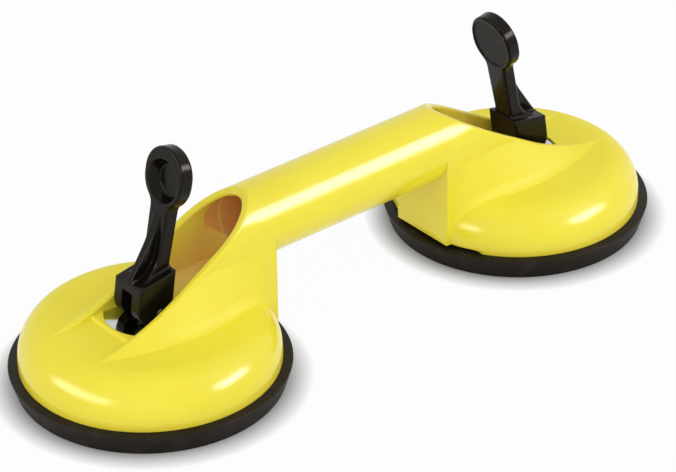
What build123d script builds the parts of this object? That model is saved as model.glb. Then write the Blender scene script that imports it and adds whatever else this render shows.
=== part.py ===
"""Double suction cup lifter.

One moulded handle joins two domed cup housings. Under each dome sits a rubber pad with a steel
plate in its middle. A draw bar runs from that plate up through the dome to a pin in the cam of an
upright lever. Swinging the lever outwards rolls its cam along a steel wear plate, lifts the bar
and draws up the middle of the pad.

Millimetres and degrees, +Z up. X runs along the handle, and the origin is on the floor, midway
between the two cups. The cup at +X is modelled, and a half turn about Z gives the other one.
"""

import os
from math import acos, atan2, cos, hypot, radians, sin, sqrt, tan

from build123d import *

# Overall
cup_spacing = 206.0  # between the two cup axes
fit_gap = 0.3  # between pieces that move past each other
seat_gap = 0.2  # round a piece that lies in a recess

# Rubber pad
pad_radius = 60.0
pad_height = 9.5  # top of the rim, where the housing's skirt stands
pad_undercut = 3.0  # the side leans in by this much at the floor
seal_width = 11.0  # flat ring that meets the glass
seal_slope = 2.5
seal_recess = 1.5  # depth of the hollow inside the ring
web_top = 6.5  # top of the thin flexing web
web_inner = 33.0
web_outer = 45.5
rim_slope = 3.5
boss_slope = 2.0

# Steel plate in the pad
plate_radius = 28.0
plate_thickness = 2.5
plate_bed = 5.5  # underside of the plate above the floor
plate_edge = 0.6

# Dome
skirt_radius = 55.5
dome_height = 29.8
dome_crown = 0.4  # the top rises this much to its middle
shoulder_radius = 16.4
shell = 3.2
pedestal_lift = 1.5  # the skirt is cut away this high beside the handle
relief_angle = 33.0  # either side of the handle

# Handle tube
tube_radius = 16.4
tube_wall = 3.4
tube_height = 55.0  # axis above the floor
bore_step = 0.25  # the core from the ends is this much wider than the one in the middle
bore_step_inset = 22.0

# Scoop that opens the tube's end over the lever
scoop_setback = 4.6  # where it leaves the tube's crown, from the pedestal's face
scoop_angle = 30.5
scoop_bend = 4.0  # the straight slope ends this far inside the cup axis
scoop_sweep = 105.0
scoop_tip = 39.5  # outer end of the sweep, from the cup axis
tip_angle = 30.0
tip_run = 12.0
rim_round = 1.2

# Flanks that carry the well's walls down onto the dome
flank_spread = 9.1  # widest foot, beyond the wall
flank_crest = 5.0  # where that is, inside the cup axis
flank_tip_spread = 1.6
flank_tip = 41.0
flank_tip_sink = 1.5  # its outer end dips this far below the dome
flank_top = 50.0  # highest line where a flank leaves the wall
flank_stations = 12
flank_hollow = 8.0  # length of the hollow round at a flank's foot, each way from its corner
hollow_share = 0.33  # the round takes at most this share of a flank's height
hollow_lead = 0.5  # and grows at this rate from the pedestal's face
flank_dive = 0.7  # it ends this far below the dome
rim_bite = 0.1  # the flanks start this far inside the rim's round

# Well round the lever
well_end_wall = 3.5
well_floor_rise = 5.5  # above the dome's edge height
floor_thickness = 3.0
core_length = 27.0  # hollow under the well's floor, from the round end's centre
seat_rise = 2.0
seat_front = 20.5
seat_round = 1.5

# Wear plate
wear_radius = 18.5
wear_half_width = 12.7
wear_back = 9.0
wear_thickness = 1.5
wear_sink = 0.8  # its top lies this far below the seat

# Draw bar
bar_width = 6.4
bar_thickness = 6.4
eye_radius = 3.6
tenon_radius = 2.6
tenon_gap = 0.05

# Pivot pin
pin_radius = 2.0
pin_chamfer = 0.3
pin_running_gap = 0.05
pin_seat_gap = 0.02

# Lever: its block and cam
lever_lean = 8.8  # inwards from upright, at rest
cam_rest = 4.3  # pin above the wear plate, at rest
lift_per_radian = 4.5
cam_relief = 0.14  # gap between cam and wear plate that has grown by the end of the swing
clamp_gap = 0.36  # the same under the flat front of the block
cam_points = 9
block_back = 6.0
block_half_width = 8.85
block_front_top = 12.7
block_back_top = 18.6
block_round = 0.7
slot_gap = 0.25  # each side of the bar
slot_top = 8.9
slot_roof_depth = 8.7

# Lever: its shaft, rib and head
shaft_rake = 3.6  # further inwards than the block
rake_start = 14.0  # above the pin
shaft_back = 5.0  # inner face of the shaft behind the pin, where the rake starts
shaft_thickness = 6.4
shaft_foot_half_width = 5.0
shaft_neck_half_width = 6.0
shaft_flare = 14.0  # the shaft's outer face sweeps out onto the block at its foot
shaft_flare_start = 11.0
shaft_flare_angle = 66.0
shaft_root = 0.5  # the shaft runs on this far below the block's front edge
shaft_round = 0.9
neck_round = 5.0
rib_sink = 0.3  # its top end starts this far below the shaft's outer face
rib_top_half_width = 2.6
rib_half_width = 1.3
rib_flare = 3.0
rib_sweep = 60.0
rib_knee_out = 9.8  # where the sweep turns into the straight foot
rib_knee_height = 14.0
head_radius = 12.1
head_stretch = 2.0  # the head is this much longer than wide
head_height = 43.8  # centre, along the shaft from the rake
lip_depth = 0.9  # the inner edge of head and shaft steps in
lip_inset = 0.7
dish_radius = 9.6
dish_drop = 1.8  # its centre is below the head's
dish_depth = 4.6
dish_draft = 30.0
dish_round = 0.5
thumb_rim = 0.9
thumb_sink = 0.5
foot_round = 1.5

# Ribs and guide under the dome
guide_radius = 9.0
inner_rib_count = 8
inner_rib_thickness = 2.4
draw_headroom = 1.5

# Places that follow from these sizes
cup_x = cup_spacing / 2
bore_radius = tube_radius - tube_wall
plate_top = plate_bed + plate_thickness
lever_swing = 90 + lever_lean
lift = lift_per_radian * radians(lever_swing)
well_floor = dome_height + well_floor_rise
seat_top = dome_height + seat_rise
wear_top = seat_top - wear_sink
wear_bottom = wear_top - wear_thickness
pin_z = wear_top + cam_rest
roof_under = dome_height - shell
inner_rib_bottom = plate_top + lift + draw_headroom
crown_z = tube_height + tube_radius
pedestal_x = cup_x - skirt_radius
pedestal_bottom = pad_height + pedestal_lift
well_end_x = pedestal_x + well_end_wall + bore_radius
block_front = cam_rest + lift - clamp_gap
rib_top = head_height - head_radius - head_stretch / 2
slot_back = fit_gap + max(
    eye_radius, bar_width / 2 * cos(radians(lever_lean)) + cam_rest * sin(radians(lever_lean))
)
shoulder_r = skirt_radius - shoulder_radius
shoulder_z = dome_height - shoulder_radius
through = 4 * pad_radius  # long enough to cut right through

cup_axis_plane = Plane(origin=(cup_x, 0, 0), x_dir=(1, 0, 0), z_dir=(0, -1, 0))
cup_axis = Axis((cup_x, 0, 0), (0, 0, 1))


def across(x):
    """Plane square to the handle at x, with its own X along +Y and its own Y along +Z."""
    return Plane(origin=(x, 0, 0), x_dir=(0, 1, 0), z_dir=(1, 0, 0))


def dome_z(radius):
    """Height of the dome's outside at a distance from the cup axis."""
    past = max(radius - shoulder_r, 0)
    return shoulder_z + sqrt(max(shoulder_radius**2 - past**2, 0))


# Side line of the scoop: a straight slope, a sweep that flattens, and a short drop at the tip
scoop_start = (pedestal_x + scoop_setback - cup_x, crown_z)
scoop_bend_z = crown_z - (-scoop_bend - scoop_start[0]) * tan(radians(scoop_angle))
tip_rise = sin(radians(scoop_angle)) - (scoop_tip + scoop_bend) / scoop_sweep
scoop_tip_z = scoop_bend_z - scoop_sweep * (sqrt(1 - tip_rise**2) - cos(radians(scoop_angle)))


def scoop_z(u):
    """Height of the scoop's line at a distance u outwards from the cup axis."""
    if u < -scoop_bend:
        return scoop_bend_z + (-scoop_bend - u) * tan(radians(scoop_angle))
    if u > scoop_tip:
        return scoop_tip_z - (u - scoop_tip) * tan(radians(tip_angle))
    slope = sin(radians(scoop_angle)) - (u + scoop_bend) / scoop_sweep
    return scoop_bend_z - scoop_sweep * (sqrt(1 - slope**2) - cos(radians(scoop_angle)))


def on_scoop(edge):
    """True for an edge that runs along the scoop's line."""
    ends = [edge @ share for share in (0, 0.5, 1)]
    along = abs(ends[2].X - ends[0].X) + abs(ends[1].X - ends[0].X) > fit_gap
    return along and all(abs(end.Z - scoop_z(end.X - cup_x)) < rim_bite for end in ends)


def on_seat_front(edge):
    """True for the edge across the well where the seat drops to the bay."""
    middle = edge.center()
    return abs(middle.X - cup_x - seat_front) < rim_bite and abs(middle.Z - seat_top) < rim_bite


def flank_foot(u):
    """Half width of the flank's foot on the dome at a distance u outwards from the cup axis."""
    if u < -flank_crest:
        share = (u + flank_crest) / (skirt_radius - flank_crest)
        return tube_radius + flank_spread * max(1 - share**2, 0) ** 1.5 - fit_gap
    share = (u + flank_crest) / (flank_tip + flank_crest)
    return tube_radius + flank_spread - (flank_spread - flank_tip_spread) * share**2


def flank_outline(u):
    """Corners of one flank's section: down from the rim's round, by a hollow round, into the dome.

    The third, fourth and fifth corners are the outer end, the middle and the upper end of that round.
    """
    foot = flank_foot(u)
    outwards = max(u + flank_crest, 0) / (flank_tip + flank_crest)
    foot_z = dome_z(hypot(u, foot)) - flank_tip_sink * outwards**4
    round_y = tube_radius - rim_round
    round_z = min(flank_top, scoop_z(u) - rim_round)
    reach = rim_round - rim_bite
    run = (foot - round_y, foot_z - round_z)
    turn = atan2(run[1], run[0]) + acos(reach / hypot(*run))
    top = Vector(round_y + reach * cos(turn), round_z + reach * sin(turn))
    # The round is tangent to the flank above and to the dome's own slope beyond the foot
    corner = Vector(foot, foot_z - flank_dive)
    up = top - corner
    limits = (flank_hollow, hollow_share * up.length, hollow_lead * (u + skirt_radius))
    size = sum(limit**-2 for limit in limits) ** -0.5
    beyond = dome_z(hypot(u, foot + size)) - flank_dive - corner.Y
    along = Vector(size, beyond).normalized()
    half = radians(up.get_angle(along)) / 2
    middle = (up.normalized() + along).normalized()
    hollow = corner + middle * (size / cos(half) - size * tan(half))
    outer = corner + along * size
    upper = corner + up.normalized() * size
    low = pedestal_bottom + pedestal_lift
    root = (outer.X, min(low + pedestal_lift, outer.Y - fit_gap))
    inner = tube_radius - tube_wall / 2
    return [(inner, low), root, outer, hollow, upper, top, (inner, top.Y)]


# Flank on one side of the well
with BuildPart() as flank:
    for index in range(flank_stations):
        station = -skirt_radius + fit_gap + index * (skirt_radius + flank_tip) / (flank_stations - 1)
        corners = flank_outline(station)
        with BuildSketch(across(cup_x + station)):
            with BuildLine():
                ThreePointArc(*corners[2:5])
                Polyline(*corners[4:], *corners[:3])
            make_face()
    loft()

# Ribs under the dome, and the guide that the draw bar slides in
with BuildPart() as stiffening:
    with BuildSketch(Plane.XY.offset(inner_rib_bottom)):
        with Locations((cup_x, 0)):
            with PolarLocations(0, inner_rib_count, 180 / inner_rib_count):
                Rectangle(skirt_radius, inner_rib_thickness, align=(Align.MIN, Align.CENTER))
            Circle(guide_radius)
    extrude(amount=dome_height - shell / 2 - inner_rib_bottom)
    with BuildSketch(cup_axis_plane):
        with BuildLine():
            Polyline(
                (shoulder_r, dome_height - shell / 2),
                (0, dome_height - shell / 2),
                (0, 0),
                (skirt_radius - shell / 2, 0),
                (skirt_radius - shell / 2, shoulder_z),
            )
            RadiusArc(
                (shoulder_r, dome_height - shell / 2),
                (skirt_radius - shell / 2, shoulder_z),
                shoulder_radius - shell / 2,
            )
        make_face()
    revolve(axis=cup_axis, mode=Mode.INTERSECT)

# Handle: the tube, the arched pedestal, the flanks, and the domes below them
with BuildPart() as handle_body:
    with BuildSketch(across(0)):
        with Locations((0, tube_height)):
            Circle(tube_radius)
    extrude(amount=pedestal_x)
    with BuildSketch(across(pedestal_x)):
        with BuildLine():
            Line((tube_radius, pedestal_bottom), (tube_radius, tube_height))
            ThreePointArc((tube_radius, tube_height), (0, crown_z), (-tube_radius, tube_height))
            Line((-tube_radius, tube_height), (-tube_radius, pedestal_bottom))
            Line((-tube_radius, pedestal_bottom), (tube_radius, pedestal_bottom))
        make_face()
    extrude(amount=skirt_radius + scoop_tip + tip_run / 2)
    # Well: the bore's width, round at its inner end, with the seat and the bay in front of it
    with BuildSketch(across(well_end_x)):
        with BuildLine():
            Line((bore_radius, well_floor), (bore_radius, tube_height))
            ThreePointArc(
                (bore_radius, tube_height), (0, tube_height + bore_radius), (-bore_radius, tube_height)
            )
            Line((-bore_radius, tube_height), (-bore_radius, well_floor))
            Line((-bore_radius, well_floor), (bore_radius, well_floor))
        make_face()
    extrude(amount=through, mode=Mode.SUBTRACT)
    with BuildSketch(Plane.XY.offset(well_floor)):
        with Locations((well_end_x, 0)):
            Circle(bore_radius)
    extrude(amount=tube_height - well_floor, mode=Mode.SUBTRACT)
    with BuildSketch(Plane.XY.offset(seat_top)):
        with Locations((cup_x - wear_back - seat_gap, 0)):
            Rectangle(through, 2 * bore_radius, align=(Align.MIN, Align.CENTER))
    extrude(amount=tube_height - seat_top, mode=Mode.SUBTRACT)
    with BuildSketch(Plane.XY.offset(pedestal_bottom)):
        with Locations((cup_x + seat_front, 0)):
            Rectangle(through, 2 * bore_radius, align=(Align.MIN, Align.CENTER))
    extrude(amount=tube_height - pedestal_bottom, mode=Mode.SUBTRACT)
    fillet(edges(Select.LAST).filter_by(on_seat_front), radius=seat_round)
    with BuildSketch(across(well_end_x)):
        with Locations((0, tube_height)):
            Circle(bore_radius)
    extrude(amount=-bore_step_inset, mode=Mode.SUBTRACT)
    with BuildSketch(across(0)):
        with Locations((0, tube_height)):
            Circle(bore_radius - bore_step)
    extrude(amount=well_end_x - bore_step_inset, mode=Mode.SUBTRACT)
    # Scoop, and the round rim that it leaves
    with BuildSketch(cup_axis_plane):
        with BuildLine():
            slope_line = Line(
                (scoop_start[0] - scoop_setback, scoop_z(scoop_start[0] - scoop_setback)),
                (-scoop_bend, scoop_bend_z),
            )
            sweep_line = ThreePointArc(
                slope_line @ 1,
                ((scoop_tip - scoop_bend) / 2, scoop_z((scoop_tip - scoop_bend) / 2)),
                (scoop_tip, scoop_tip_z),
            )
            tip_line = Line(sweep_line @ 1, (scoop_tip + tip_run, scoop_z(scoop_tip + tip_run)))
            Polyline(
                tip_line @ 1,
                (scoop_tip + tip_run, crown_z + tube_radius),
                (scoop_start[0] - scoop_setback, crown_z + tube_radius),
                slope_line @ 0,
            )
        make_face()
    extrude(amount=through, both=True, mode=Mode.SUBTRACT)
    rim = edges(Select.LAST).filter_by(on_scoop)
    fillet(rim, radius=rim_round)
    add(flank.part)
    mirror(flank.part, about=Plane.XZ)
    # Dome
    with BuildSketch(cup_axis_plane):
        with BuildLine():
            Polyline(
                (shoulder_r, dome_height),
                (0, dome_height + dome_crown),
                (0, pad_height),
                (skirt_radius, pad_height),
                (skirt_radius, shoulder_z),
            )
            RadiusArc((shoulder_r, dome_height), (skirt_radius, shoulder_z), shoulder_radius)
        make_face()
    revolve(axis=cup_axis)
    # Hollow under the dome, carried on up under the well's floor
    with BuildSketch(cup_axis_plane):
        with BuildLine():
            Polyline(
                (shoulder_r, roof_under),
                (0, roof_under),
                (0, 0),
                (skirt_radius - shell, 0),
                (skirt_radius - shell, shoulder_z),
            )
            RadiusArc(
                (shoulder_r, roof_under), (skirt_radius - shell, shoulder_z), shoulder_radius - shell
            )
        make_face()
    revolve(axis=cup_axis, mode=Mode.SUBTRACT)
    with BuildSketch(Plane.XY.offset(shoulder_z)):
        with Locations((well_end_x, 0)):
            Circle(bore_radius)
            Rectangle(core_length, 2 * bore_radius, align=(Align.MIN, Align.CENTER))
    extrude(amount=well_floor - floor_thickness - shoulder_z, mode=Mode.SUBTRACT)
    # Ribs and the draw bar's guide
    add(stiffening.part)
    # Recess for the wear plate, and the draw bar's slot below it
    with BuildSketch(Plane.XY.offset(wear_bottom)):
        with Locations((cup_x, 0)):
            Circle(wear_radius + seat_gap)
        with Locations((cup_x - wear_back - seat_gap, 0)):
            Rectangle(
                through,
                2 * (wear_half_width + seat_gap),
                align=(Align.MIN, Align.CENTER),
                mode=Mode.INTERSECT,
            )
    extrude(amount=tube_height - wear_bottom, mode=Mode.SUBTRACT)
    with BuildSketch():
        with Locations((cup_x, 0)):
            Rectangle(bar_width + 2 * fit_gap, bar_thickness + 2 * fit_gap)
    extrude(amount=through, mode=Mode.SUBTRACT)
    # Relief in the skirt beside the pedestal
    with BuildSketch(Plane.XY.offset(pad_height)):
        with Locations((cup_x - skirt_radius * cos(radians(relief_angle)), 0)):
            Rectangle(through, 2 * skirt_radius, align=(Align.MAX, Align.CENTER))
    extrude(amount=pedestal_lift, mode=Mode.SUBTRACT)
    mirror(about=Plane.YZ)

# Rubber pad: a flat sealing ring, a thin web that flexes and a bed for the steel plate
with BuildPart() as suction_pad:
    with BuildSketch(cup_axis_plane):
        with BuildLine():
            Polyline(
                (0, seal_recess),
                (pad_radius - pad_undercut - seal_width - seal_slope, seal_recess),
                (pad_radius - pad_undercut - seal_width, 0),
                (pad_radius - pad_undercut, 0),
                (pad_radius, pad_height),
                (web_outer + rim_slope, pad_height),
                (web_outer, web_top),
                (web_inner, web_top),
                (web_inner - boss_slope, plate_top),
                (plate_radius + seat_gap, plate_top),
                (plate_radius + seat_gap, plate_bed),
                (0, plate_bed),
                close=True,
            )
        make_face()
    revolve(axis=cup_axis)

# Steel plate bedded in the pad
with BuildPart() as pad_plate:
    with BuildSketch(Plane.XY.offset(plate_bed)):
        with Locations((cup_x, 0)):
            Circle(plate_radius)
            Circle(tenon_radius + tenon_gap, mode=Mode.SUBTRACT)
    extrude(amount=plate_thickness)
    chamfer(edges().filter_by(GeomType.CIRCLE).sort_by(SortBy.RADIUS)[-2:], plate_edge)

# Draw bar: a tenon in the plate, a square shank and an eye for the pin
with BuildPart() as draw_bar:
    with BuildSketch(cup_axis_plane):
        with Locations((0, plate_top)):
            Rectangle(bar_width, pin_z - plate_top, align=(Align.CENTER, Align.MIN))
        with Locations((0, pin_z)):
            Circle(eye_radius)
    extrude(amount=bar_thickness / 2, both=True)
    with BuildSketch(Plane.XY.offset(plate_bed)):
        with Locations((cup_x, 0)):
            Circle(tenon_radius)
    extrude(amount=plate_thickness)
    with BuildSketch(cup_axis_plane):
        with Locations((0, pin_z)):
            Circle(pin_radius + pin_running_gap)
    extrude(amount=bar_thickness, both=True, mode=Mode.SUBTRACT)

# Wear plate: a round steel plate with three sides cut straight and a slot for the bar
with BuildPart() as wear_plate:
    with BuildSketch(Plane.XY.offset(wear_bottom)):
        with Locations((cup_x, 0)):
            Circle(wear_radius)
        with Locations((cup_x - wear_back, 0)):
            Rectangle(
                through, 2 * wear_half_width, align=(Align.MIN, Align.CENTER), mode=Mode.INTERSECT
            )
        with Locations((cup_x, 0)):
            Rectangle(bar_width + 2 * fit_gap, bar_thickness + 2 * fit_gap, mode=Mode.SUBTRACT)
    extrude(amount=wear_thickness)

# Lever planes: the block leans in by its rest angle, and the shaft rakes in further
block_out = Vector(cos(radians(lever_lean)), 0, sin(radians(lever_lean)))
block_up = Vector(-sin(radians(lever_lean)), 0, cos(radians(lever_lean)))
shaft_out = Vector(cos(radians(lever_lean + shaft_rake)), 0, sin(radians(lever_lean + shaft_rake)))
pin_centre = Vector(cup_x, 0, pin_z)
shaft_foot = pin_centre - block_out * shaft_back + block_up * rake_start
block_side = Plane(origin=pin_centre, x_dir=block_out, z_dir=(0, -1, 0))
shaft_side = Plane(origin=shaft_foot, x_dir=shaft_out, z_dir=(0, -1, 0))
shaft_front = Plane(origin=shaft_foot, x_dir=(0, 1, 0), z_dir=shaft_out)
dish_mouth = Plane(origin=shaft_foot + shaft_out * shaft_thickness, x_dir=(0, 1, 0), z_dir=-shaft_out)

ledge_start = pin_centre - block_out * block_back + block_up * block_back_top
ledge = block_out * (block_back + block_front) - block_up * (block_back_top - block_front_top)
ledge_end = Plane(origin=ledge_start, x_dir=(0, 1, 0), z_dir=ledge)

# Cam: its distance from the pin grows evenly with the angle, so the pin rises evenly as it rolls
cam_growth = (lift - cam_relief) / radians(lever_swing)


def cam_point(angle):
    """Point of the cam that touches the wear plate when that lies at an angle below the block."""
    distance = cam_rest + cam_growth * radians(angle + lever_lean)
    return (
        distance * sin(radians(angle)) + cam_growth * cos(radians(angle)),
        -distance * cos(radians(angle)) + cam_growth * sin(radians(angle)),
    )


cam_start = cam_point(-lever_lean)
cam_end = cam_point(90)
heel = (-block_back, cam_start[1] + (cam_start[0] + block_back) * tan(radians(lever_lean)))

# Front top corner of the block, as the shaft's side plane sees it
toe = shaft_side.to_local_coords(pin_centre + block_out * block_front + block_up * block_front_top)


def on_block_side(edge):
    """True for an edge round either side face of the lever's block."""
    return abs(abs(edge.center().Y) - block_half_width) < fit_gap


def draw_lever_outline():
    """Draws the front outline of shaft and head in the sketch that is open."""
    with Locations((0, head_height)):
        SlotCenterToCenter(head_stretch, 2 * head_radius, rotation=90)
    Polygon(
        (-shaft_foot_half_width, toe.Y - shaft_root),
        (shaft_foot_half_width, toe.Y - shaft_root),
        (shaft_neck_half_width, head_height),
        (-shaft_neck_half_width, head_height),
        align=None,
    )
    neck = vertices().filter_by_position(Axis.Y, shaft_flare_start, head_height - head_stretch)
    fillet(neck, radius=neck_round)


# Rib on the shaft's outer face: it narrows downwards and flares where it meets the block
with BuildPart() as rib:
    with BuildSketch(shaft_side):
        with BuildLine():
            rib_edge = RadiusArc(
                (shaft_thickness - rib_sink, rib_top), (rib_knee_out, rib_knee_height), -rib_sweep
            )
            Polyline(rib_edge @ 1, (toe.X, toe.Y), (0, toe.Y), (0, rib_top), rib_edge @ 0)
        make_face()
    extrude(amount=block_half_width, both=True)
    with BuildSketch(shaft_front):
        with BuildLine():
            rib_side = Line((rib_top_half_width, rib_top), (rib_half_width, toe.Y - shaft_root + rib_flare))
            rib_foot = RadiusArc(
                rib_side @ 1, (rib_half_width + rib_flare, toe.Y - shaft_root), -rib_flare
            )
            Polyline(rib_foot @ 1, (0, toe.Y - shaft_root), (0, rib_top), rib_side @ 0)
        make_face()
        mirror(about=Plane.YZ)
    extrude(amount=through, both=True, mode=Mode.INTERSECT)

# Side profile of the shaft, which flares at its foot
flare_end = (
    shaft_thickness + shaft_flare * (1 - cos(radians(shaft_flare_angle))),
    shaft_flare_start - shaft_flare * sin(radians(shaft_flare_angle)),
)
with BuildSketch(shaft_side) as shaft_profile:
    with BuildLine():
        Polyline(
            (shaft_thickness, shaft_flare_start),
            (shaft_thickness, head_height + 2 * head_radius),
            (0, head_height + 2 * head_radius),
            (0, toe.Y - shaft_root),
            (flare_end[0], toe.Y - shaft_root),
            flare_end,
        )
        RadiusArc(flare_end, (shaft_thickness, shaft_flare_start), shaft_flare)
    make_face()

# Shaft and head of the lever: the side profile cut to the front outline
with BuildPart() as shaft:
    extrude(shaft_profile.sketch, amount=head_radius, both=True)
    with BuildSketch(shaft_front):
        draw_lever_outline()
    extrude(amount=through, both=True, mode=Mode.INTERSECT)
    outer_rim = edges().filter_by(GeomType.CIRCLE).sort_by(SortBy.LENGTH)[-2:]
    fillet(outer_rim.sort_by(Axis(shaft_foot, shaft_out))[-1], radius=shaft_round)
    with BuildSketch(shaft_front):
        draw_lever_outline()
        offset(amount=-lip_inset, mode=Mode.SUBTRACT)
    extrude(amount=lip_depth, mode=Mode.SUBTRACT)

# Cove where the shaft stands on the block's sloping top; it runs out under the shaft's flare
with BuildPart() as cove:
    with BuildSketch(ledge_end):
        with BuildLine():
            hollow = RadiusArc(
                (shaft_foot_half_width + foot_round, 0), (shaft_foot_half_width, foot_round), foot_round
            )
            Polyline(
                hollow @ 1,
                (0, foot_round),
                (0, -shaft_root),
                (shaft_foot_half_width + foot_round, -shaft_root),
                hollow @ 0,
            )
        make_face()
        mirror(about=Plane.YZ)
    extrude(amount=ledge.length)
    extrude(shaft_profile.sketch, amount=through, both=True, mode=Mode.INTERSECT)

# Lever
with BuildPart() as lever:
    # Block, with the cam below it
    with BuildSketch(block_side):
        with BuildLine():
            Polyline(
                cam_end,
                (cam_end[0], block_front_top),
                (block_front, block_front_top),
                (-block_back, block_back_top),
                heel,
                cam_start,
            )
            cam_turns = [lever_swing * index / cam_points for index in range(cam_points + 1)]
            Spline(
                [cam_point(cam_turn - lever_lean) for cam_turn in cam_turns],
                tangents=[(cos(radians(lever_lean)), -sin(radians(lever_lean))), (0, 1)],
            )
        make_face()
        Rectangle(2 * block_front, 4 * block_back_top, mode=Mode.INTERSECT)
    extrude(amount=block_half_width, both=True)
    add(shaft.part)
    add(rib.part)
    add(cove.part)
    fillet(edges().filter_by(on_block_side), radius=block_round)
    # Slot for the draw bar
    with BuildSketch(block_side):
        with BuildLine():
            Polyline(
                (2 * block_front, slot_top),
                (block_front - slot_roof_depth, slot_top),
                (-slot_back, eye_radius + fit_gap),
                (-slot_back, -2 * block_front),
                (2 * block_front, -2 * block_front),
                close=True,
            )
        make_face()
    extrude(amount=bar_thickness / 2 + slot_gap, both=True, mode=Mode.SUBTRACT)
    with BuildSketch(block_side):
        Circle(pin_radius + pin_seat_gap)
    extrude(amount=through, both=True, mode=Mode.SUBTRACT)
    # Dish in the head's outer face, and the sunk thumb face on its inner side
    with BuildSketch(dish_mouth):
        with Locations((0, dish_drop - head_height)):
            Circle(dish_radius)
    extrude(amount=dish_depth, taper=dish_draft, mode=Mode.SUBTRACT)
    fillet(edges(Select.LAST).filter_by(GeomType.CIRCLE), radius=dish_round)
    with BuildSketch(shaft_front):
        with Locations((0, head_height)):
            SlotCenterToCenter(head_stretch, 2 * (head_radius - lip_inset - thumb_rim), rotation=90)
    extrude(amount=thumb_sink, mode=Mode.SUBTRACT)

# Pivot pin
with BuildPart() as pivot_pin:
    with BuildSketch(cup_axis_plane):
        with Locations((0, pin_z)):
            Circle(pin_radius)
    extrude(amount=block_half_width, both=True)
    chamfer(edges().filter_by(GeomType.CIRCLE), pin_chamfer)

os.makedirs("parts", exist_ok=True)
handle_body.part.label = "handle_body"
export_step(handle_body.part, "parts/handle_body.step")
cup_pieces = {
    "suction_pad": suction_pad.part,
    "pad_plate": pad_plate.part,
    "draw_bar": draw_bar.part,
    "wear_plate": wear_plate.part,
    "lever": lever.part,
    "pivot_pin": pivot_pin.part,
}
for side, turn in (("right", 0), ("left", 180)):
    for name, piece in cup_pieces.items():
        with BuildPart() as placed:
            add(piece, rotation=(0, 0, turn))
        placed.part.label = f"{side}_{name}"
        export_step(placed.part, f"parts/{side}_{name}.step")
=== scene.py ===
"""Looks of a double suction cup lifter: its finishes, rubber pads, thumb ribs, studio and camera.

Metres, +Z up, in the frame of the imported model. X runs along the handle and the floor is at zero.
"""

import logging
from dataclasses import dataclass
from enum import Enum
from math import acos, ceil, cos, floor, pi, radians, sin, tan
from typing import Any, Union

import bmesh
import bpy
from mathutils import Matrix, Vector


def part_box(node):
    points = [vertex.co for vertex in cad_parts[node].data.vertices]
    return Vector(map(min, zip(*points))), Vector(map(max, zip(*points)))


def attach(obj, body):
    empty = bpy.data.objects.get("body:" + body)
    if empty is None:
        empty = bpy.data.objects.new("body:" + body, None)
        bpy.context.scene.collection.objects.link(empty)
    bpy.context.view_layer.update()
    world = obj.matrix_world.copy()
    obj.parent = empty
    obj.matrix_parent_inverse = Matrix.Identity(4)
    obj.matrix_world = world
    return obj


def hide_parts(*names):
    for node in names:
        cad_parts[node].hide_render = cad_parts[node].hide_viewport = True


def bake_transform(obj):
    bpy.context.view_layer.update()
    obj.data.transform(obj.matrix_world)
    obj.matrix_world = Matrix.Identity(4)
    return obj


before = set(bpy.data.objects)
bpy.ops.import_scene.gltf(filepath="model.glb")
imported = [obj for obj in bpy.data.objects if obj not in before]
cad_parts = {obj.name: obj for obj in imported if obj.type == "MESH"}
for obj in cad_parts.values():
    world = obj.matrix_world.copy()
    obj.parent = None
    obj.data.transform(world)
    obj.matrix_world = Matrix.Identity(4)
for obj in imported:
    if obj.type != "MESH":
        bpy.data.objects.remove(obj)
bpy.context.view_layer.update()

MM = 0.001
FULL_TURN = 2 * pi
TURN_SLACK = 1e-6
MERGE_DISTANCE = 0.001 * MM
SHARP_ANGLE = radians(40)
EDGE_SAMPLES = 6
NOISE_MIDDLE = 0.5
NOISE_SPREAD = (0.3, 0.7)
WHITE = (1, 1, 1, 1)
WARM_SHEEN = (1, 0.90, 0.77, 1)

Triple = tuple[float, float, float]
Colour = Triple
Number = Union[float, "Field"]

log = logging.getLogger("lifter")


class Side(Enum):
    """The two cups, by the sign of their place along the handle."""

    LEFT = -1
    RIGHT = 1

    def node(self, piece: str) -> str:
        """Name of this side's node or body."""
        return f"{self.name.lower()}_{piece}"

    def middle(self, piece: str) -> Vector:
        """Middle of the box of this side's node."""
        low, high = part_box(self.node(piece))
        return (low + high) / 2

    @property
    def foot(self) -> Vector:
        """Point where this cup's axis meets the floor."""
        middle = self.middle("suction_pad")
        return Vector((middle.x, middle.y, 0))


class Slot(Enum):
    """Material slots of the record."""

    YELLOW = "yellow_plastic"
    BLACK = "black_plastic"
    RUBBER = "pad_rubber"
    PLAIN_STEEL = "plain_steel"
    POLISHED_STEEL = "polished_steel"


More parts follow.
